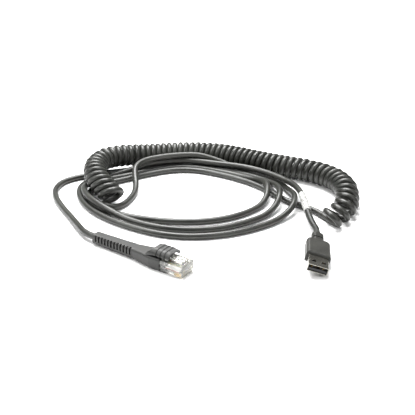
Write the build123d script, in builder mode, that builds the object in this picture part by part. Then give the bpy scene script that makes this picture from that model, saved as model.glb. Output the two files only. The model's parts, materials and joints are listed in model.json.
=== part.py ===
from build123d import *
from math import cos, pi, radians, sin, tan
import os

os.makedirs("parts", exist_ok=True)

# A coiled scanner cable lying on a table, in millimetres. The table is z = 0, +Y points to the back,
# and the origin is on the table, midway between the two plugs.

# Cord
cord_d = 4.2
cord_r = cord_d / 2
coil_d = 16.4
lie = cord_r  # height of the cord's centre where it lies on the table
exit_run = 8.5  # straight cord behind each plug

# Modular plug, ten-way, and its strain relief
modular_rear = (-70.5, 21, 4.0)  # where the cord enters the boot
modular_turn = -34.8  # heading of the plug in plan, degrees from +X
boot_length = 46  # tapered part
boot_small = (6.8, 6.2)  # width and height at the cord
boot_middle = (8.4, 6.8)  # where the slots end
boot_large = (12.9, 8.0)  # width and height at the head
head_length = 8
slot_count = 12
slot_pitch = 2.5
slot_width = 1.2
plug_start = 48
plug_length = 22
plug_width = 11.68
plug_height = 6.6
contact_pitch = 1.02
contact_count = 10
latch_root = 67.4  # distance of the latch's hinge from the boot's small end
latch_tail = 49.5
guard_root = 43.5

# USB-A plug
usb_rear = (65.1, 19.3, 5.25)  # where the cord enters the neck
usb_heading = (-5, -41, 0)
usb_roll = 15  # degrees, the -X side up
neck_length = 9
grip_start = 12
grip_end = 29
grip_width = 14.6
grip_height = 7.4
shell_start = 22
shell_end = 41
shell_width = 12.0
shell_height = 4.5
shell_wall = 0.3
tongue_thick = 1.84

# Label
label_wall = 0.3


def corner_radii(points):
    """One radius for each inner point: 0.45 of the shorter run over the tangent of half the turn."""
    spots = [Vector(*p) for p in points]
    radii = []
    for before, here, after in zip(spots, spots[1:], spots[2:]):
        half_turn = radians((here - before).get_angle(after - here)) / 2
        radii.append(0.45 * min((here - before).length, (after - here).length) / tan(half_turn))
    return radii


def swept(name, points, radius):
    """A round bar along straight runs joined by tangent arcs, with its radii, length and volume printed."""
    radii = corner_radii(points)
    with BuildPart() as bar:
        with BuildLine() as route:
            path = FilletPolyline(*points, radius=radii)
        with BuildSketch(Plane(path @ 0, z_dir=path % 0)):
            Circle(radius)
        sweep(path=route.line)
    print(name, "radii", " ".join(f"{r:.0f}" for r in radii))
    section = pi * radius**2
    print(f"{name} length {path.length:.0f}, volume {bar.part.volume:.0f}, by section {section * path.length:.0f}")
    return bar.part


def station(frame, x):
    """The plane across a plug at distance x along it, with the plug's left as its x and the plug's top as its y."""
    return Plane(frame.from_local_coords((x, 0, 0)), x_dir=frame.y_dir, z_dir=frame.x_dir)


def flank(frame, y):
    """The upright plane along a plug at y to its left, with the plug's length as its x."""
    return Plane(frame.from_local_coords((0, y, 0)), x_dir=frame.x_dir, z_dir=-frame.y_dir)


# Each plug's own frame: x along it to its nose, z up through its top, origin where the cord enters.
modular = Plane(
    modular_rear,
    x_dir=(cos(radians(modular_turn)), sin(radians(modular_turn)), 0),
    z_dir=(0, 0, 1),
)
usb_level = Plane(usb_rear, x_dir=usb_heading, z_dir=(0, 0, 1))
usb_top = usb_level.y_dir * sin(radians(usb_roll)) + usb_level.z_dir * cos(radians(usb_roll))
usb = Plane(usb_rear, x_dir=usb_heading, z_dir=usb_top)


# ---------------------------------------------------------------- the cord's route

# From the boot: out to the left and round to the back, twice round the loops, and under them to the coil.
scanner_points = [
    modular_rear,
    modular.from_local_coords((-exit_run, 0, 0)),
    (-83.5, 37.5, 3),
    (-91, 53, lie),
    (-100, 69.5, lie),
    (-107, 85, lie),
    (-110, 100, lie),
    (-106.5, 113, lie),
    (-97, 121, lie),
    (-85, 126.5, lie),
    (-72, 131.3, lie),
    (-59, 134.7, lie),
    (-44, 139.3, lie),
    (-29, 144.3, lie),
    (-14, 145.6, lie),
    (1, 141, lie),
    (13, 134.3, lie),
    (25, 127, lie),
    (36, 117.5, 2.4),
    (43, 107.5, 3.6),
    (47, 97, 5.8),
    (48, 88, 7.1),
    (47.3, 79, 7),
    (44.5, 68.5, 4.4),
    (37, 56.5, lie),
    (25, 46.5, lie),
    (9, 38, lie),
    (-7, 34.6, lie),
    (-23, 35.3, lie),
    (-39, 40.5, lie),
    (-55, 49, 2.8),
    (-67.5, 58, 5.6),
    (-77.5, 68, 6.8),
    (-85, 80, 6.6),
    (-88.5, 92, 6.3),
    (-87.8, 102, 4.6),
    (-81.3, 110.8, 2.5),
    (-71, 119, lie),
    (-59, 124.5, lie),
    (-48, 131.6, lie),
    (-35, 137.4, lie),
    (-22, 140.8, lie),
    (-8, 138.6, lie),
    (5, 132.8, lie),
    (17, 126.3, lie),
    (28, 118.3, 2.4),
    (36, 109.5, 4.2),
    (39.5, 100.5, 7),
    (40, 91.5, 6.8),
    (38.5, 81, 4.2),
    (33.5, 70, lie),
    (23, 59, lie),
    (9, 50.5, lie),
    (-7, 46.5, lie),
    (-24, 46.5, lie),
    (-41, 49.8, lie),
    (-57.5, 57, lie),
    (-71, 65, lie),
    (-80, 75.5, lie),
    (-84.6, 86, lie),
    (-84.5, 96, lie),
    (-80, 105, lie),
    (-71, 111.8, lie),
    (-61, 117.3, lie),
    (-50, 124.5, lie),
    (-37, 131.5, lie),
    (-23, 135.7, lie),
    (-8, 133.8, lie),
    (7, 126.2, lie),
    (20, 118, lie),
    (31, 108.5, lie),
    (39.5, 98, lie),
    (47, 86, lie),
    (55.5, 75.5, lie),
    (64, 68, lie),
    (70.8, 61.3, lie),
    (76.5, 54, lie),
    (81.5, 47.5, 2.6),
]

# From the coil's left end: over the loops, once round their outside, across the top of them to the USB plug.
host_points = [
    (-66.5, 68.5, 3.2),
    (-60.5, 74, 2.4),
    (-55.5, 82.5, lie),
    (-52.5, 94.5, 2.6),
    (-53, 105.5, 4.6),
    (-54.7, 115, 7.6),
    (-54.5, 124, 10.2),
    (-48.5, 132.5, 11.2),
    (-36.5, 139, 11.2),
    (-22, 143.2, 11.2),
    (-8, 144.2, 10.8),
    (6, 141, 7.5),
    (20, 135.2, 3.4),
    (31.5, 129, lie),
    (41.5, 121.5, lie),
    (50, 110.5, lie),
    (54, 99, 2.6),
    (56.8, 88, 4.6),
    (57.3, 78.5, 6.8),
    (56.6, 68.5, 6.7),
    (52, 58.5, 4.2),
    (43.5, 48.5, lie),
    (31, 38.7, lie),
    (17, 31.3, lie),
    (1, 26.4, lie),
    (-15, 25.2, lie),
    (-31, 28.3, lie),
    (-47, 36.3, lie),
    (-61, 45.8, lie),
    (-72.5, 56, lie),
    (-82.5, 68.5, lie),
    (-89, 82, lie),
    (-92.8, 96, lie),
    (-91.3, 109, lie),
    (-83, 118.6, lie),
    (-71, 125.2, lie),
    (-59, 129.8, 4.2),
    (-48, 135.3, 6.8),
    (-35, 140.6, 6.6),
    (-22, 143.4, 6.6),
    (-8, 141.2, 6.6),
    (6, 135.8, 6.8),
    (20, 131.5, 6.9),
    (32, 125.5, 7.0),
    (42.5, 116.5, 7.1),
    (52, 104.5, 7.5),
    (58.4, 92.5, 8.3),
    (61.2, 80.5, 8.9),
    (62.2, 68.5, 8.6),
    (62.6, 57, 7.8),
    (63.3, 46, 6.6),
    (64.4, 36, 5.6),
    usb.from_local_coords((-exit_run, 0, 0)),
    usb_rear,
]

# The coil's axis: over the loops at the left, flat on the table round the back and down the right.
coil_points = [
    (-65, 71, 10),
    (-71.5, 81, 11.8),
    (-78, 92, 13.2),
    (-82.5, 106, 13.8),
    (-82, 120, 13.8),
    (-76, 132, 13.3),
    (-63.5, 140.5, 11.9),
    (-47.5, 148.6, 9.2),
    (-31, 154, 8.25),
    (-14, 156.2, 8.25),
    (3, 153.9, 8.25),
    (18, 148, 8.25),
    (33, 138.8, 8.25),
    (49, 129.6, 8.25),
    (65.5, 122.8, 8.25),
    (80, 113.5, 8.25),
    (90, 101.3, 8.25),
    (94, 87, 8.25),
    (92, 72.5, 8.25),
    (86.5, 58.5, 8.25),
    (80, 47, 8.25),
]

scanner_lead = swept("scanner_lead", scanner_points, cord_r)
scanner_lead.label = "scanner_lead"
export_step(scanner_lead, "parts/scanner_lead.step")

host_lead = swept("host_lead", host_points, cord_r)
host_lead.label = "host_lead"
export_step(host_lead, "parts/host_lead.step")

coil = swept("coil", coil_points, coil_d / 2)
coil.label = "coil"
export_step(coil, "parts/coil.step")

# The label wraps the straight-lying cord between the middles of two runs, so its path is the cord's own.
label_at = host_points.index((62.2, 68.5, 8.6))
label_corners = [Vector(*p) for p in host_points[label_at - 1 : label_at + 3]]
label_route = [
    (label_corners[0] + label_corners[1]) / 2,
    label_corners[1],
    label_corners[2],
    (label_corners[2] + label_corners[3]) / 2,
]
with BuildPart() as cord_label:
    with BuildLine() as wrap:
        wrap_path = FilletPolyline(*label_route, radius=corner_radii(host_points)[label_at - 1 : label_at + 1])
    with BuildSketch(Plane(wrap_path @ 0, z_dir=wrap_path % 0)):
        Circle(cord_r + label_wall)
        Circle(cord_r, mode=Mode.SUBTRACT)
    sweep(path=wrap.line)
cord_label.part.label = "cord_label"
export_step(cord_label.part, "parts/cord_label.step")

# ---------------------------------------------------------------- modular plug end

head_start = boot_length
notched_length = slot_count * slot_pitch + 2
head_end = boot_length + head_length
plug_end = plug_start + plug_length
plug_top = plug_height / 2
jacket_end = 57.5
wire_z = -0.55
blade_z = -1.15  # top of the contact blades
contact_row = [(i - (contact_count - 1) / 2) * contact_pitch for i in range(contact_count)]

# Boot: a tapered sleeve, notched like a ladder down both upper edges, and a head that grips the plug.
with BuildPart() as scanner_boot:
    with BuildSketch(station(modular, 0)):
        RectangleRounded(*boot_small, 1.6)
    with BuildSketch(station(modular, notched_length)):
        RectangleRounded(*boot_middle, 1.6)
    loft(ruled=True)
    with BuildSketch(station(modular, notched_length)):
        RectangleRounded(*boot_middle, 1.6)
    with BuildSketch(station(modular, head_start)):
        RectangleRounded(*boot_large, 1.6)
    loft(ruled=True)
    with BuildSketch(station(modular, head_start)):
        RectangleRounded(*boot_large, 1.6)
    extrude(amount=head_length)
    # sole under the plug
    with BuildSketch(station(modular, head_end)):
        with Locations((0, -(boot_large[1] / 2 + plug_top) / 2)):
            Rectangle(plug_width - 0.6, boot_large[1] / 2 - plug_top)
    extrude(amount=4)
    # notches in both sides, from below the middle up through the top, in to a spine over the jacket
    for side in (-1, 1):
        with BuildSketch(flank(modular, side * (cord_r + 0.4))):
            with Locations(*[(2.9 + i * slot_pitch, 2) for i in range(slot_count)]):
                RectangleRounded(slot_width, 6.2, 0.3)
        extrude(amount=-side * 6, mode=Mode.SUBTRACT)
    # bore for the jacket, socket for the plug, channel for the latch's tail
    with BuildSketch(station(modular, 0)):
        Circle(cord_r)
    extrude(amount=plug_start, mode=Mode.SUBTRACT)
    with BuildSketch(station(modular, plug_start)):
        Rectangle(plug_width, plug_height)
    extrude(amount=head_end - plug_start, mode=Mode.SUBTRACT)
    with BuildSketch(station(modular, plug_start)):
        with Locations((0, boot_large[1] / 2)):
            Rectangle(4.6, 2 * (boot_large[1] / 2 - plug_top))
    extrude(amount=head_end - plug_start, mode=Mode.SUBTRACT)
scanner_boot.part.label = "scanner_boot"
export_step(scanner_boot.part, "parts/scanner_boot.step")

# The cord's jacket inside the boot and the back of the plug.
with BuildPart() as scanner_jacket_end:
    with BuildSketch(station(modular, 0)):
        Circle(cord_r)
    extrude(amount=jacket_end)
scanner_jacket_end.part.label = "scanner_jacket_end"
export_step(scanner_jacket_end.part, "parts/scanner_jacket_end.step")

# Plug housing: clear block with a jacket bore, a wire channel, and open slots for the contacts at its nose.
with BuildPart() as modular_plug_body:
    with BuildSketch(station(modular, plug_start)):
        Rectangle(plug_width, plug_height)
    extrude(amount=plug_length)
    chamfer(
        modular_plug_body.faces().sort_by(Axis(modular.origin, modular.x_dir))[-1].edges(),
        0.4,
    )
    with BuildSketch(station(modular, plug_start)):
        Circle(cord_r + 0.1)
    extrude(amount=jacket_end - plug_start, mode=Mode.SUBTRACT)
    with BuildSketch(station(modular, jacket_end)):
        with Locations((0, wire_z)):
            Rectangle(contact_count * contact_pitch + 0.2, 1.2)
    extrude(amount=plug_end - jacket_end - 2.5, mode=Mode.SUBTRACT)
    with BuildSketch(flank(modular, 0)):
        with Locations((53, -plug_top)):
            Rectangle(4, 2 * (plug_top - cord_r))
    extrude(amount=2.8, both=True, mode=Mode.SUBTRACT)
    for y in contact_row:
        with BuildSketch(flank(modular, y)):
            with Locations((67, -plug_top)):
                Rectangle(6.4, 2 * (plug_top + blade_z))
        extrude(amount=0.25, both=True, mode=Mode.SUBTRACT)
modular_plug_body.part.label = "modular_plug_body"
export_step(modular_plug_body.part, "parts/modular_plug_body.step")

# Contact blades, one in each slot.
with BuildPart() as modular_contacts:
    for y in contact_row:
        with BuildSketch(flank(modular, y)):
            with Locations((66.4, (blade_z - plug_top) / 2 + 0.1)):
                RectangleRounded(4.6, plug_top + blade_z - 0.2, 0.5)
        extrude(amount=0.16, both=True)
modular_contacts.part.label = "modular_contacts"
export_step(modular_contacts.part, "parts/modular_contacts.step")

# Conductors, side by side in the channel.
with BuildPart() as modular_wires:
    with BuildSketch(station(modular, jacket_end)):
        with Locations(*[(y, wire_z) for y in contact_row]):
            Circle(0.45)
    extrude(amount=plug_end - jacket_end - 3)
modular_wires.part.label = "modular_wires"
export_step(modular_wires.part, "parts/modular_wires.step")

# Crimped wedge that presses on the jacket from below.
with BuildPart() as jacket_wedge:
    with BuildSketch(flank(modular, 0)):
        with Locations((53, -(plug_top + cord_r) / 2)):
            Rectangle(3.8, plug_top - cord_r)
    extrude(amount=2.7, both=True)
jacket_wedge.part.label = "jacket_wedge"
export_step(jacket_wedge.part, "parts/jacket_wedge.step")

# Latch: a lever that rises from its root over the nose to its tail under the guard, with two stop shoulders.
latch_z = plug_top + 0.65  # height of the hinge
tail_z = 6.3
with BuildPart() as plug_latch:
    with BuildSketch(flank(modular, 0)):
        with BuildLine():
            Polyline(
                (latch_root, latch_z - 0.5),
                (latch_root, latch_z + 0.5),
                (latch_tail, tail_z + 0.5),
                (latch_tail, tail_z - 0.5),
                close=True,
            )
        make_face()
        with Locations((latch_root, latch_z)):
            Circle(0.5)
    extrude(amount=1.6, both=True)
    with BuildSketch(flank(modular, 0)):
        with BuildLine():
            Polyline(
                (latch_root, latch_z - 0.5),
                (latch_root, latch_z + 0.5),
                (60.5, latch_z + 1.4),
                (60.5, latch_z + 0.4),
                close=True,
            )
        make_face()
        with Locations((latch_root, latch_z)):
            Circle(0.5)
    extrude(amount=3.1, both=True)
plug_latch.part.label = "plug_latch"
export_step(plug_latch.part, "parts/plug_latch.step")

# Guard: an arched hood over the latch with three ribs across it, hinged where it leaves the boot.
guard_z = boot_large[1] / 2 + 0.45
arch_z = 3  # height of the middle of the rounded section that the arch is the top of
with BuildPart() as latch_guard:
    with BuildSketch(station(modular, guard_root)):
        with Locations((0, arch_z)):
            RectangleRounded(11.6, 11.2, 3.4)
    extrude(amount=17)
    for x in (50.6, 53.6, 56.6):
        with BuildSketch(station(modular, x - 0.75)):
            with Locations((0, arch_z)):
                RectangleRounded(12.4, 12.0, 3.8)
        extrude(amount=1.5)
    with BuildSketch(flank(modular, 0)):
        with BuildLine():
            Polyline(
                (guard_root, guard_z - 0.2),
                (guard_root + 1.2, guard_z + 1.5),
                (48.8, 9.2),
                (57.5, 9.2),
                (60.5, 8.2),
                (60.5, 5.3),
                (54.5, 5.5),
                (50, 5.5),
                (45.5, guard_z - 0.15),
                close=True,
            )
        make_face()
    extrude(amount=8, both=True, mode=Mode.INTERSECT)
    with BuildSketch(station(modular, 47.5)):
        with Locations((0, arch_z)):
            RectangleRounded(9.2, 8.6, 2.4)
    extrude(amount=15, mode=Mode.SUBTRACT)
    # presser that bears on the latch
    with BuildSketch(flank(modular, 0)):
        with Locations((56.5, 6.75)):
            Rectangle(1, 1.4)
    extrude(amount=1.5, both=True)
latch_guard.part.label = "latch_guard"
export_step(latch_guard.part, "parts/latch_guard.step")

# ---------------------------------------------------------------- USB plug end

inner_start = 17
mouth = shell_width - 2 * shell_wall
gape = shell_height - 2 * shell_wall
contact_y = (-3.5, -1.0, 1.0, 3.5)

# Overmould: neck, shoulders and grip, hollow for the inner moulding and the back of the shell.
with BuildPart() as usb_overmould:
    with BuildSketch(usb):
        with Locations(((neck_length + grip_end) / 2, 0)):
            Rectangle(grip_end - neck_length, grip_width)
    extrude(amount=grip_height / 2, both=True)
    along = Axis(usb.origin, usb.x_dir)
    upright = Axis(usb.origin, usb.z_dir)
    corners = usb_overmould.edges().filter_by(upright)
    fillet(corners.sort_by(along)[:2], 3.4)
    fillet(usb_overmould.faces().filter_by(upright).edges(), 1.8)
    with BuildSketch(station(usb, 0)):
        RectangleRounded(7.6, 6.2, 2.3)
    extrude(amount=neck_length + 2)
    # groove that lets the neck bend
    with BuildSketch(station(usb, 5.2)):
        RectangleRounded(9, 8, 2.3)
        RectangleRounded(6.6, 5.2, 1.8, mode=Mode.SUBTRACT)
    extrude(amount=1, mode=Mode.SUBTRACT)
    # bore for the jacket and its clamp, cavity for the inner moulding, socket for the shell
    with BuildSketch(station(usb, 0)):
        Circle(cord_r)
    extrude(amount=14, mode=Mode.SUBTRACT)
    with BuildSketch(station(usb, 10)):
        Circle(cord_r + 0.4)
    extrude(amount=4, mode=Mode.SUBTRACT)
    with BuildSketch(station(usb, 14)):
        Rectangle(mouth, gape)
    extrude(amount=shell_start - 14, mode=Mode.SUBTRACT)
    with BuildSketch(station(usb, shell_start)):
        RectangleRounded(shell_width, shell_height, 0.6)
    extrude(amount=grip_end - shell_start, mode=Mode.SUBTRACT)
usb_overmould.part.label = "usb_overmould"
export_step(usb_overmould.part, "parts/usb_overmould.step")

# Shell: a folded steel box, open at both ends, with two windows in the top and two in the bottom.
with BuildPart() as usb_shell:
    with BuildSketch(station(usb, shell_start)):
        RectangleRounded(shell_width, shell_height, 0.6)
        RectangleRounded(mouth, gape, 0.3, mode=Mode.SUBTRACT)
    extrude(amount=shell_end - shell_start)
    with BuildSketch(usb):
        with Locations((shell_end - 5.2, -2.9), (shell_end - 5.2, 2.9)):
            Rectangle(2.2, 2.5)
    extrude(amount=shell_height, both=True, mode=Mode.SUBTRACT)
usb_shell.part.label = "usb_shell"
export_step(usb_shell.part, "parts/usb_shell.step")

# Tongue: the contact carrier, a full-height block at the back and a slab along the floor of the shell.
tongue_top = -gape / 2 + tongue_thick
with BuildPart() as usb_tongue:
    with BuildSketch(station(usb, shell_start)):
        RectangleRounded(mouth - 0.1, gape - 0.1, 0.35)
    extrude(amount=7.5)
    with BuildSketch(station(usb, shell_start + 7.5)):
        with Locations((0, -gape / 2 + tongue_thick / 2)):
            RectangleRounded(mouth - 0.1, tongue_thick - 0.1, 0.35)
    extrude(amount=shell_end - shell_start - 8.2)
    for y in contact_y:
        with BuildSketch(usb.offset(tongue_top - 0.2)):
            with Locations((35, y)):
                Rectangle(8.6, 1.3)
        extrude(amount=1, mode=Mode.SUBTRACT)
usb_tongue.part.label = "usb_tongue"
export_step(usb_tongue.part, "parts/usb_tongue.step")

# Contacts: the outer two reach further forward than the inner two.
with BuildPart() as usb_contacts:
    for y, reach in zip(contact_y, (8.4, 7.4, 7.4, 8.4)):
        with BuildSketch(usb.offset(tongue_top - 0.2)):
            with Locations((30.8 + reach / 2, y)):
                Rectangle(reach, 1.1)
        extrude(amount=0.15)
usb_contacts.part.label = "usb_contacts"
export_step(usb_contacts.part, "parts/usb_contacts.step")

# Inner moulding behind the tongue.
with BuildPart() as usb_inner_mould:
    with BuildSketch(station(usb, inner_start)):
        Rectangle(mouth, gape)
    extrude(amount=shell_start - inner_start)
usb_inner_mould.part.label = "usb_inner_mould"
export_step(usb_inner_mould.part, "parts/usb_inner_mould.step")

# Conductors from the jacket to the inner moulding.
with BuildPart() as usb_wires:
    with BuildSketch(station(usb, 14)):
        with Locations((-1.5, 0), (-0.5, 0), (0.5, 0), (1.5, 0)):
            Circle(0.45)
    extrude(amount=inner_start - 14)
usb_wires.part.label = "usb_wires"
export_step(usb_wires.part, "parts/usb_wires.step")

# Metal band crimped round the jacket's end.
with BuildPart() as usb_shield_clamp:
    with BuildSketch(station(usb, 10)):
        Circle(cord_r + 0.4)
        Circle(cord_r, mode=Mode.SUBTRACT)
    extrude(amount=4)
usb_shield_clamp.part.label = "usb_shield_clamp"
export_step(usb_shield_clamp.part, "parts/usb_shield_clamp.step")

# The cord's jacket inside the neck.
with BuildPart() as host_jacket_end:
    with BuildSketch(station(usb, 0)):
        Circle(cord_r)
    extrude(amount=14)
host_jacket_end.part.label = "host_jacket_end"
export_step(host_jacket_end.part, "parts/host_jacket_end.step")
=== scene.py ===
import json
import bmesh
import bpy
from math import cos, pi, radians, sin, tau
from mathutils import Matrix, Vector


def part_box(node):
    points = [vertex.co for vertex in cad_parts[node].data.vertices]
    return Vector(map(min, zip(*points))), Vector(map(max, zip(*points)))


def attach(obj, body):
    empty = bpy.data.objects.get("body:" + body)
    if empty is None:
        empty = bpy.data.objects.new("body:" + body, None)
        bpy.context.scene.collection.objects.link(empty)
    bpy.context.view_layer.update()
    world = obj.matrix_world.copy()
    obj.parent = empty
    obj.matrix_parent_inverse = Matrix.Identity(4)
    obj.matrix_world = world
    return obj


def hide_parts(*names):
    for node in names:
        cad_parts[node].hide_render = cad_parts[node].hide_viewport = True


# A coiled scanner cable on a pale floor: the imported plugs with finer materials, one cord drawn as a curve
# from plug to plug, and a wrap label. Routes and sizes are in millimetres, and MM turns them into metres.

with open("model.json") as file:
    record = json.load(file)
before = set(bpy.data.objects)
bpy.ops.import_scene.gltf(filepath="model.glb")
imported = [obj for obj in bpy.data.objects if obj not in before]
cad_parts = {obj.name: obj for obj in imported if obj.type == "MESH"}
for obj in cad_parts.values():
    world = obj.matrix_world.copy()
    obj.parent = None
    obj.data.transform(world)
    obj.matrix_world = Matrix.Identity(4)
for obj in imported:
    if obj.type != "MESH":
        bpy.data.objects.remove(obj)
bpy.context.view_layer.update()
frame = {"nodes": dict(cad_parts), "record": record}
record = frame["record"]
MM = 0.001

# ---------------------------------------------------------------- camera and light

scene = bpy.context.scene
scene.view_settings.view_transform = "Standard"
scene.view_settings.look = "None"

CAMERA_PLACE = (-0.002, -0.3982, 0.2196)
CAMERA_PITCH = 65  # degrees up from straight down
LENS = 66.5
LIT_SPOT = (0, 0.07, 0)

camera_data = bpy.data.cameras.new("camera")
camera_data.lens = LENS
camera_data.sensor_width = 36
camera_data.clip_start = 0.01
camera_data.clip_end = 20
camera = bpy.data.objects.new("camera", camera_data)
camera.location = CAMERA_PLACE
camera.rotation_euler = (radians(CAMERA_PITCH), 0, 0)
scene.collection.objects.link(camera)
scene.camera = camera


def area_light(name, place, size, power):
    """A square soft box at a place, turned to the middle of the cable."""
    data = bpy.data.lights.new(name, "AREA")
    data.shape = "SQUARE"
    data.size = size
    data.energy = power
    light = bpy.data.objects.new(name, data)
    light.location = place
    light.rotation_euler = (Vector(LIT_SPOT) - Vector(place)).to_track_quat("-Z", "Y").to_euler()
    scene.collection.objects.link(light)


area_light("overhead", (-0.1, 0.45, 0.85), size=0.7, power=25)
area_light("side", (-0.7, -0.1, 0.6), size=0.35, power=4)
area_light("fill", (0.6, -0.5, 0.8), size=0.9, power=4)

world = bpy.data.worlds.new("studio")
scene.world = world
world.use_nodes = True
background = world.node_tree.nodes["Background"]
background.inputs["Color"].default_value = (1, 1, 1, 1)
background.inputs["Strength"].default_value = 0.25


# ---------------------------------------------------------------- plug frames


def plug_frame(place, heading, roll=0):
    """x along a plug to its nose, z up through its top, origin where the cord enters."""
    x = Vector(heading).normalized()
    level_y = Vector((0, 0, 1)).cross(x)
    top = level_y * sin(radians(roll)) + Vector((0, 0, 1)) * cos(radians(roll))
    y = top.cross(x)
    matrix = Matrix((x, y, top)).transposed().to_4x4()
    matrix.translation = Vector(place)
    return matrix


MODULAR_TURN = radians(-34.8)
MODULAR = plug_frame((-70.5, 21, 4.0), (cos(MODULAR_TURN), sin(MODULAR_TURN), 0))
USB = plug_frame((65.1, 19.3, 5.25), (-5, -41, 0), roll=15)
EXIT_RUN = 8.5  # the cord's straight run behind each plug


# ---------------------------------------------------------------- materials


def shader(name, roughness=0.5, **sockets):
    """A new material, its node tree and its Principled shader, with constants set on its sockets."""
    material = bpy.data.materials.new(name)
    material.use_nodes = True
    tree = material.node_tree
    principled = tree.nodes["Principled BSDF"]
    principled.inputs["Roughness"].default_value = roughness
    for socket, value in sockets.items():
        principled.inputs[socket.replace("_", " ")].default_value = value
    return material, tree, principled


def noise(tree, scale, detail=3.0, stretch=None):
    """Noise in object space, with its scale per metre, squeezed along each axis by stretch."""
    texture = tree.nodes.new("ShaderNodeTexNoise")
    texture.inputs["Scale"].default_value = scale
    texture.inputs["Detail"].default_value = detail
    coords = tree.nodes.new("ShaderNodeTexCoord")
    if stretch is None:
        tree.links.new(coords.outputs["Object"], texture.inputs["Vector"])
    else:
        mapping = tree.nodes.new("ShaderNodeMapping")
        mapping.inputs["Scale"].default_value = stretch
        tree.links.new(coords.outputs["Object"], mapping.inputs["Vector"])
        tree.links.new(mapping.outputs["Vector"], texture.inputs["Vector"])
    return texture


def ramp(tree, source, stops):
    """A colour ramp from (place, colour) stops."""
    node = tree.nodes.new("ShaderNodeValToRGB")
    ends = node.color_ramp.elements
    for element, (place, colour) in zip(ends, stops[:2]):
        element.position = place
        element.color = (*colour, 1)
    for place, colour in stops[2:]:
        ends.new(place).color = (*colour, 1)
    tree.links.new(source, node.inputs["Fac"])
    return node


def span(tree, source, low, high):
    """A value from low to high as the source goes from 0.3 to 0.7."""
    node = tree.nodes.new("ShaderNodeMapRange")
    node.inputs["From Min"].default_value = 0.3
    node.inputs["From Max"].default_value = 0.7
    node.inputs["To Min"].default_value = low
    node.inputs["To Max"].default_value = high
    tree.links.new(source, node.inputs["Value"])
    return node


def bump(tree, principled, source, distance):
    """A bump of that height in metres."""
    node = tree.nodes.new("ShaderNodeBump")
    node.inputs["Strength"].default_value = 1.0
    node.inputs["Distance"].default_value = distance
    tree.links.new(source, node.inputs["Height"])
    tree.links.new(node.outputs["Normal"], principled.inputs["Normal"])


def plastic(name, dark, light, roughness, grain, grain_height, blotch=60, **sockets):
    """Moulded plastic or rubber: two close tones in blotches, gloss that varies with them, a fine grain."""
    material, tree, principled = shader(name, **sockets)
    patches = noise(tree, blotch, 4)
    fine = noise(tree, grain, 2)
    tone = ramp(tree, patches.outputs["Fac"], [(0.35, dark), (0.65, light)])
    tree.links.new(tone.outputs["Color"], principled.inputs["Base Color"])
    gloss = span(tree, patches.outputs["Fac"], roughness[0], roughness[1])
    tree.links.new(gloss.outputs["Result"], principled.inputs["Roughness"])
    bump(tree, principled, fine.outputs["Fac"], grain_height)
    return material


def metal(name, dark, light, roughness, brush, brush_height, stretch):
    """Plated metal with slight tarnish and fine lines, drawn out by stretch."""
    material, tree, principled = shader(name, Metallic=1.0)
    tarnish = noise(tree, 180, 4)
    lines = noise(tree, brush, 3, stretch)
    tone = ramp(tree, tarnish.outputs["Fac"], [(0.3, dark), (0.7, light)])
    tree.links.new(tone.outputs["Color"], principled.inputs["Base Color"])
    gloss = span(tree, lines.outputs["Fac"], roughness[0], roughness[1])
    tree.links.new(gloss.outputs["Result"], principled.inputs["Roughness"])
    bump(tree, principled, lines.outputs["Fac"], brush_height)
    return material


def coloured_wires(name, matrix, pitch, colours):
    """Glossy insulation, one colour to a wire, for wires side by side across a plug."""
    material, tree, principled = shader(name, Specular_IOR_Level=0.5)
    coords = tree.nodes.new("ShaderNodeTexCoord")
    across = tree.nodes.new("ShaderNodeVectorMath")
    across.operation = "DOT_PRODUCT"
    side = matrix.col[1].to_3d()
    across.inputs[1].default_value = side
    tree.links.new(coords.outputs["Object"], across.inputs[0])
    place = tree.nodes.new("ShaderNodeMapRange")
    middle = side.dot(matrix.translation) * MM
    half = len(colours) * pitch / 2 * MM
    place.inputs["From Min"].default_value = middle - half
    place.inputs["From Max"].default_value = middle + half
    tree.links.new(across.outputs["Value"], place.inputs["Value"])
    stops = [(i / len(colours), colour) for i, colour in enumerate(colours)]
    tone = ramp(tree, place.outputs["Result"], stops)
    tone.color_ramp.interpolation = "CONSTANT"
    tree.links.new(tone.outputs["Color"], principled.inputs["Base Color"])
    sheen = noise(tree, 900, 2)
    gloss = span(tree, sheen.outputs["Fac"], 0.25, 0.4)
    tree.links.new(gloss.outputs["Result"], principled.inputs["Roughness"])
    bump(tree, principled, sheen.outputs["Fac"], 0.00002)
    return material


def clear_plastic():
    """Moulded polycarbonate, slightly cloudy, with faint flow lines in its faces."""
    material, tree, principled = shader("clear_plastic", Transmission_Weight=0.86, IOR=1.58)
    cloud = noise(tree, 320, 4)
    tone = ramp(tree, cloud.outputs["Fac"], [(0.35, (0.9, 0.9, 0.84)), (0.65, (0.98, 0.98, 0.94))])
    tree.links.new(tone.outputs["Color"], principled.inputs["Base Color"])
    gloss = span(tree, cloud.outputs["Fac"], 0.06, 0.2)
    tree.links.new(gloss.outputs["Result"], principled.inputs["Roughness"])
    flow = noise(tree, 260, 3, (1, 4, 1))
    bump(tree, principled, flow.outputs["Fac"], 0.00012)
    return material


def printed_film(name, paper, mark):
    """White label film with faint rubbed specks where it has been handled."""
    material, tree, principled = shader(name)
    specks = noise(tree, 700, 2)
    tone = ramp(tree, specks.outputs["Fac"], [(0.4, mark), (0.47, paper)])
    tree.links.new(tone.outputs["Color"], principled.inputs["Base Color"])
    wrinkle = noise(tree, 240, 4)
    gloss = span(tree, wrinkle.outputs["Fac"], 0.25, 0.45)
    tree.links.new(gloss.outputs["Result"], principled.inputs["Roughness"])
    bump(tree, principled, wrinkle.outputs["Fac"], 0.00015)
    return material


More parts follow.
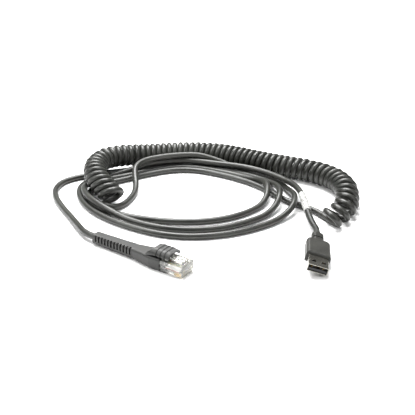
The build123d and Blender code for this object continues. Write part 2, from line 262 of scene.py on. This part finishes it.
SOFT_SHINE = {"Specular_IOR_Level": 0.5}
cord_jacket = plastic(
    "cord_jacket",
    dark=(0.021, 0.022, 0.019),
    light=(0.036, 0.037, 0.032),
    roughness=(0.27, 0.4),
    grain=2600,
    grain_height=0.00005,
    blotch=45,
    **SOFT_SHINE,
)
boot_rubber = plastic(
    "boot_rubber",
    dark=(0.017, 0.017, 0.016),
    light=(0.031, 0.031, 0.028),
    roughness=(0.38, 0.55),
    grain=1900,
    grain_height=0.00008,
    blotch=70,
    **SOFT_SHINE,
)
usb_moulding = plastic(
    "usb_moulding",
    dark=(0.021, 0.021, 0.018),
    light=(0.036, 0.036, 0.03),
    roughness=(0.36, 0.52),
    grain=1700,
    grain_height=0.0001,
    blotch=70,
    **SOFT_SHINE,
)
tongue_plastic = plastic(
    "tongue_plastic",
    dark=(0.008, 0.008, 0.009),
    light=(0.015, 0.015, 0.016),
    roughness=(0.35, 0.5),
    grain=1500,
    grain_height=0.00003,
)
inner_plastic = plastic(
    "inner_plastic",
    dark=(0.45, 0.44, 0.4),
    light=(0.55, 0.54, 0.5),
    roughness=(0.4, 0.55),
    grain=1500,
    grain_height=0.00003,
)
gold = metal(
    "gold",
    dark=(0.72, 0.47, 0.16),
    light=(0.9, 0.64, 0.27),
    roughness=(0.15, 0.3),
    brush=900,
    brush_height=0.00001,
    stretch=(1, 6, 1),
)
nickel = metal(
    "nickel",
    dark=(0.26, 0.25, 0.22),
    light=(0.4, 0.39, 0.35),
    roughness=(0.12, 0.28),
    brush=700,
    brush_height=0.00001,
    stretch=(1, 8, 8),
)
clear = clear_plastic()
label_film = printed_film("label_film", paper=(0.5, 0.5, 0.485), mark=(0.13, 0.13, 0.125))

SLOT_MATERIAL = {
    "cord_jacket": cord_jacket,
    "boot_rubber": boot_rubber,
    "usb_moulding": usb_moulding,
    "clear_plastic": clear,
    "gold": gold,
    "nickel_steel": nickel,
    "tongue_plastic": tongue_plastic,
    "inner_plastic": inner_plastic,
    "label_film": label_film,
}
MODULAR_COLOURS = [
    (0.5, 0.02, 0.015), (0.02, 0.02, 0.02), (0.55, 0.42, 0.02), (0.02, 0.22, 0.04),
    (0.45, 0.12, 0.02), (0.02, 0.06, 0.35), (0.6, 0.6, 0.56), (0.2, 0.03, 0.25), (0.25, 0.25, 0.25),
    (0.12, 0.05, 0.02),
]
USB_COLOURS = [(0.5, 0.02, 0.015), (0.6, 0.6, 0.56), (0.02, 0.22, 0.04), (0.02, 0.02, 0.02)]
MODULAR_PITCH = 1.02
USB_PITCH = 1.0
NODE_MATERIAL = {
    "modular_wires": coloured_wires("modular_insulation", MODULAR, MODULAR_PITCH, MODULAR_COLOURS),
    "usb_wires": coloured_wires("usb_insulation", USB, USB_PITCH, USB_COLOURS),
}

# ---------------------------------------------------------------- the cord

CORD_D = 4.2
LIE = CORD_D / 2  # height of the centre line where the cord lies on the floor

# From the modular plug round the loops to the curly stretch's right end.
SCANNER_POINTS = [
    tuple(MODULAR.translation), tuple(MODULAR @ Vector((-EXIT_RUN, 0, 0))), (-83.5, 37.5, 3),
    (-91, 53, LIE), (-100, 69.5, LIE), (-107, 85, LIE), (-110, 100, LIE), (-106.5, 113, LIE),
    (-97, 121, LIE), (-85, 126.5, LIE), (-72, 131.3, LIE), (-59, 134.7, LIE), (-44, 139.3, LIE),
    (-29, 144.3, LIE), (-14, 145.6, LIE), (1, 141, LIE), (13, 134.3, LIE), (25, 127, LIE),
    (36, 117.5, 2.4), (43, 107.5, 3.6), (47, 97, 5.8), (48, 88, 7.1), (47.3, 79, 7),
    (44.5, 68.5, 4.4), (37, 56.5, LIE), (25, 46.5, LIE), (9, 38, LIE), (-7, 34.6, LIE),
    (-23, 35.3, LIE), (-39, 40.5, LIE), (-55, 49, 2.8), (-67.5, 58, 5.6), (-77.5, 68, 6.8),
    (-85, 80, 6.6), (-88.5, 92, 6.3), (-87.8, 102, 4.6), (-81.3, 110.8, 2.5), (-71, 119, LIE),
    (-59, 124.5, LIE), (-48, 131.6, LIE), (-35, 137.4, LIE), (-22, 140.8, LIE), (-8, 138.6, LIE),
    (5, 132.8, LIE), (17, 126.3, LIE), (28, 118.3, 2.4), (36, 109.5, 4.2), (39.5, 100.5, 7),
    (40, 91.5, 6.8), (38.5, 81, 4.2), (33.5, 70, LIE), (23, 59, LIE), (9, 50.5, LIE),
    (-7, 46.5, LIE), (-24, 46.5, LIE), (-41, 49.8, LIE), (-58, 56, LIE), (-72, 63.6, LIE),
    (-81.5, 75, LIE), (-84.6, 86, LIE), (-84.5, 96, LIE), (-80, 105, LIE), (-71, 111.8, LIE),
    (-61, 117.3, LIE), (-50, 124.5, LIE), (-37, 131.5, LIE), (-23, 135.7, LIE), (-8, 133.8, LIE),
    (7, 126.2, LIE), (20, 118, LIE), (31, 108.5, LIE), (39.5, 98, LIE), (47, 86, LIE),
    (55.5, 75.5, LIE), (64.3, 68.6, LIE), (70.6, 61.8, LIE), (74.1, 55.6, LIE), (76.7, 50.2, LIE),
]

# From the curly stretch's last ring, a small turn back under the ring to the straight cord.
TAIL_POINTS = [
    (-68.9, 75.7, 3.6), (-71.3, 73.1, 3.7), (-71.9, 70, 4.1), (-70.2, 67.3, 4.4),
    (-66.9, 66.2, 3.8),
]

# From that turn round the loops to the USB plug.
HOST_POINTS = [
    (-63.3, 67.6, 2.9), (-60, 71.5, LIE), (-57.3, 76.5, LIE), (-54.7, 84, LIE), (-52.5, 94.5, 2.6),
    (-53, 105.5, 4.6), (-54.7, 115, 7.6), (-54.5, 124, 10.2), (-48.5, 132.5, 11.2),
    (-36.5, 139, 11.2), (-22, 143.2, 11.2), (-8, 144.2, 10.8), (6, 141, 7.5), (20, 135.2, 3.4),
    (31.5, 129, LIE), (41.5, 121.5, LIE), (50, 110.5, LIE), (54, 99, 2.6), (56.8, 88, 4.6),
    (57.3, 78.5, 6.8), (56.6, 68.5, 6.7), (52, 58.5, 4.2), (43.5, 48.5, LIE), (31, 38.7, LIE),
    (17, 31.3, LIE), (1, 26.4, LIE), (-15, 25.2, LIE), (-31, 28.3, LIE), (-47, 36.3, LIE),
    (-61, 45.8, LIE), (-72.5, 56, LIE), (-82.5, 68.5, LIE), (-89, 82, LIE), (-92.8, 96, LIE),
    (-91.3, 109, LIE), (-83, 118.6, LIE), (-71, 125.2, LIE), (-59, 129.8, 4.2), (-48, 135.3, 6.8),
    (-35, 140.6, 6.6), (-22, 143.4, 6.6), (-8, 141.2, 6.6), (6, 135.8, 6.8), (20, 131.5, 6.9),
    (32, 125.5, 7.0), (42.5, 116.5, 7.1), (52, 104.5, 7.5), (58.4, 92.5, 8.3), (61.2, 80.5, 8.9),
    (62.2, 68.5, 8.6), (62.6, 57, 7.8), (63.3, 46, 6.6), (64.4, 36, 5.6),
    tuple(USB @ Vector((-EXIT_RUN, 0, 0))), tuple(USB.translation),
]

# The curly stretch's axis from its right end, round the back, to its left end.
COIL_POINTS = [
    (75.2, 41.7, 8.25), (82, 49, 8.25), (88.5, 58.5, 8.25), (92.6, 72, 8.25), (93.9, 87, 8.25),
    (90, 101.3, 8.25), (80, 113.5, 8.25), (65.5, 122.8, 8.25), (49, 129.6, 8.25), (33, 138.8, 8.25),
    (18, 148, 8.25), (3, 153.9, 8.25), (-14, 156.2, 8.25), (-31, 154, 8.25), (-47.5, 148.6, 9.2),
    (-63.5, 140.5, 11.9), (-76, 132, 13.3), (-82, 120, 13.8), (-82.5, 106, 13.8), (-78, 92, 13.2),
    (-71.5, 81, 11.8), (-65, 71, 10),
]


def nurbs(name, points, resolution):
    """A curve object of one open NURBS spline with these control points, in metres."""
    curve = bpy.data.curves.new(name, "CURVE")
    curve.dimensions = "3D"
    curve.resolution_u = resolution
    spline = curve.splines.new("NURBS")
    spline.points.add(len(points) - 1)
    for spot, point in zip(spline.points, points):
        spot.co = (*(Vector(point) * MM), 1)
    spline.order_u = 3
    spline.use_endpoint_u = True
    made = bpy.data.objects.new(name, curve)
    scene.collection.objects.link(made)
    return made


def line_of(name, points, resolution=24):
    """Points along a route's NURBS spline, in millimetres, with the distance to each."""
    guide = nurbs(name, points, resolution)
    mesh = bpy.data.meshes.new_from_object(guide)
    spots = [v.co / MM for v in mesh.vertices]
    bpy.data.objects.remove(guide)
    bpy.data.meshes.remove(mesh)
    reach = [0.0]
    for a, b in zip(spots, spots[1:]):
        reach.append(reach[-1] + (b - a).length)
    return spots, reach


def along(spots, reach, distance):
    """The point and heading at a distance along a line."""
    i = 0
    while i < len(spots) - 2 and reach[i + 1] < distance:
        i += 1
    step = spots[i + 1] - spots[i]
    share = (distance - reach[i]) / (reach[i + 1] - reach[i])
    return spots[i] + step * share, step.normalized()


def between(stops, x):
    """A value read off (place, value) stops, easing from one to the next."""
    for (x0, v0), (x1, v1) in zip(stops, stops[1:]):
        if x <= x1:
            share = min(max((x - x0) / (x1 - x0), 0), 1)
            return v0 + (v1 - v0) * share * share * (3 - 2 * share)
    return stops[-1][1]


# (distance from the right end, value) stops along the axis: the pitch of the rings, their radius, how far
# they lean forward and how far they are turned about the vertical, in degrees.
PITCH = [
    (0, 10), (14, 9.6), (28, 8), (42, 6.4), (60, 5.2), (92, 5.1), (112, 4.55), (155, 4.45), (215, 4.4),
    (240, 5.1), (270, 5.2), (292, 5.5), (304, 5.9), (330, 6),
]
RADIUS = [(0, 6.3), (30, 6.2), (60, 6.05), (275, 6.05), (300, 6.4), (316, 6.6)]
LEAN = [(0, 50), (20, 46), (38, 34), (60, 12), (80, 0), (240, 0), (275, -20), (296, -32), (316, -36)]
YAW = [(0, -14), (30, -12), (58, 0), (330, 0)]
RADIUS_DRIFTS = [(0.06, 0.37, 0), (0.04, 0.11, 1)]  # size, waves a ring and phase of slow drifts in radius
TURN_POINTS = 14  # control points in a ring
START_ANGLE = -90  # the first ring starts at its lowest point
END_STEPS = 13  # points past a whole number of rings at the left end
START_GAP = 0.5  # distances left free at the axis's two ends
END_GAP = 1.5

axis_spots, axis_reach = line_of("coil_axis", COIL_POINTS)
coil_length = axis_reach[-1]
distances = []
distance = START_GAP
while distance < coil_length - END_GAP:
    distances.append(distance)
    distance += between(PITCH, distance) / TURN_POINTS
spare = (len(distances) - 1 - END_STEPS) % TURN_POINTS
distances = distances[: len(distances) - spare]
stretch = (coil_length - END_GAP) / distances[-1]

helix_points = []
for step, distance in enumerate(distances):
    distance *= stretch
    angle = radians(START_ANGLE) + tau * step / TURN_POINTS
    centre, heading = along(axis_spots, axis_reach, distance)
    facing = Matrix.Rotation(radians(between(YAW, distance)), 3, "Z") @ heading
    right = facing.cross(Vector((0, 0, 1))).normalized()
    up = right.cross(facing)
    lean = radians(between(LEAN, distance))
    leaning = up * cos(lean) - facing * sin(lean)
    radius = between(RADIUS, distance)
    for size, waves, phase in RADIUS_DRIFTS:
        radius += size * sin(angle * waves + phase)
    drawn = radius / cos(pi / TURN_POINTS)  # the spline cuts inside its control points
    drop = radius * (1 - cos(lean))
    spot = centre + (right * cos(angle) + leaning * sin(angle)) * drawn - Vector((0, 0, drop))
    spot.z = max(spot.z, LIE)
    helix_points.append(tuple(spot))

CORD_POINTS = SCANNER_POINTS + helix_points + TAIL_POINTS + HOST_POINTS
cord = nurbs("cord", CORD_POINTS, 5)
cord.data.bevel_depth = CORD_D / 2 * MM
cord.data.bevel_resolution = 5
cord.data.use_fill_caps = True
cord.data.materials.append(cord_jacket)

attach(cord, "cable")
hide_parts("scanner_lead", "coil", "host_lead")

# ---------------------------------------------------------------- the label

LABEL_ROUND = 40  # points round the sleeve
LABEL_FILM = 0.32  # height of the film above the jacket
LABEL_LAP = 0.22  # height of the lapped edge
LAP_ANGLE = 1.0  # where the lap starts round the sleeve, and how far it takes to thin out, in radians
LAP_SPAN = 1.4
LABEL_RIPPLES = [(0.05, 3, 0.55), (0.03, 7, -0.3)]  # height, waves round the sleeve, twist at each ring
LABEL_BORE = 0.86  # the end faces' inner edge, as a share of the outer one
LABEL_WITHIN = 120  # the label is within this much cord of the USB plug

cord_spots, cord_reach = line_of("cord_line", CORD_POINTS, 12)
low, high = (Vector(corner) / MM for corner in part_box("cord_label"))


def under_label(spot, reach):
    """Whether a point of the cord's line is on the stretch that the CAD label covers."""
    near_plug = reach > cord_reach[-1] - LABEL_WITHIN
    return near_plug and low.y < spot.y < high.y and spot.x > low.x - 1 and spot.z > low.z


label_spots = [spot for spot, reach in zip(cord_spots, cord_reach) if under_label(spot, reach)]


def label_sleeve(spots):
    """Film wrapped round the cord, lapped along one side and slightly rippled, with closed end faces."""
    mesh = bmesh.new()
    rings = []
    for i, spot in enumerate(spots):
        heading = (spots[min(i + 1, len(spots) - 1)] - spots[max(i - 1, 0)]).normalized()
        side = heading.cross(Vector((0, 0, 1))).normalized()
        top = side.cross(heading)
        ring = []
        for k in range(LABEL_ROUND):
            turn = tau * k / LABEL_ROUND
            reach = CORD_D / 2 + LABEL_FILM
            reach += LABEL_LAP * max(0, 1 - ((turn - LAP_ANGLE) % tau) / LAP_SPAN)
            for height, waves, twist in LABEL_RIPPLES:
                reach += height * sin(waves * turn + i * twist)
            ring.append(mesh.verts.new((spot + (side * cos(turn) + top * sin(turn)) * reach) * MM))
        rings.append(ring)
    for end, spot in ((rings[0], spots[0]), (rings[-1], spots[-1])):
        inner = [mesh.verts.new((spot * MM).lerp(v.co, LABEL_BORE)) for v in end]
        for k in range(LABEL_ROUND):
            mesh.faces.new((end[k], end[k - 1], inner[k - 1], inner[k]))
    for a, b in zip(rings, rings[1:]):
        for k in range(LABEL_ROUND):
            mesh.faces.new((a[k], a[k - 1], b[k - 1], b[k]))
    bmesh.ops.recalc_face_normals(mesh, faces=mesh.faces)
    data = bpy.data.meshes.new("label_wrap")
    mesh.to_mesh(data)
    mesh.free()
    for face in data.polygons:
        face.use_smooth = True
    sleeve = bpy.data.objects.new("label_wrap", data)
    scene.collection.objects.link(sleeve)
    sleeve.data.materials.append(label_film)
    return sleeve


label_wrap = label_sleeve(label_spots)
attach(label_wrap, "cable")
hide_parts("cord_label")

# ---------------------------------------------------------------- floor

bpy.ops.mesh.primitive_plane_add(size=6, location=(0, 0, 0))
floor = bpy.context.object
floor.name = "floor"
floor_paint, floor_tree, floor_shader = shader("floor_paint", roughness=0.9)
floor_mottle = noise(floor_tree, 3, 2)
floor_stops = [(0.3, (0.9, 0.9, 0.9)), (0.7, (0.91, 0.91, 0.91))]
floor_tone = ramp(floor_tree, floor_mottle.outputs["Fac"], floor_stops)
floor_tree.links.new(floor_tone.outputs["Color"], floor_shader.inputs["Base Color"])
floor.data.materials.append(floor_paint)

# ---------------------------------------------------------------- CAD nodes' materials

node_slot = {part["node"]: part["material_slot"] for part in record["subparts"]}
for name, node in frame["nodes"].items():
    node.data.materials.clear()
    node.data.materials.append(NODE_MATERIAL.get(name) or SLOT_MATERIAL[node_slot[name]])

# Width in millimetres of the rounding on moulded edges.
EDGE_ROUND = {"scanner_boot": 0.22, "latch_guard": 0.28, "modular_plug_body": 0.15, "plug_latch": 0.15}
for name, width in EDGE_ROUND.items():
    rounding = frame["nodes"][name].modifiers.new("edge_round", "BEVEL")
    rounding.width = width * MM
    rounding.segments = 2
    rounding.limit_method = "ANGLE"
    rounding.angle_limit = radians(35)
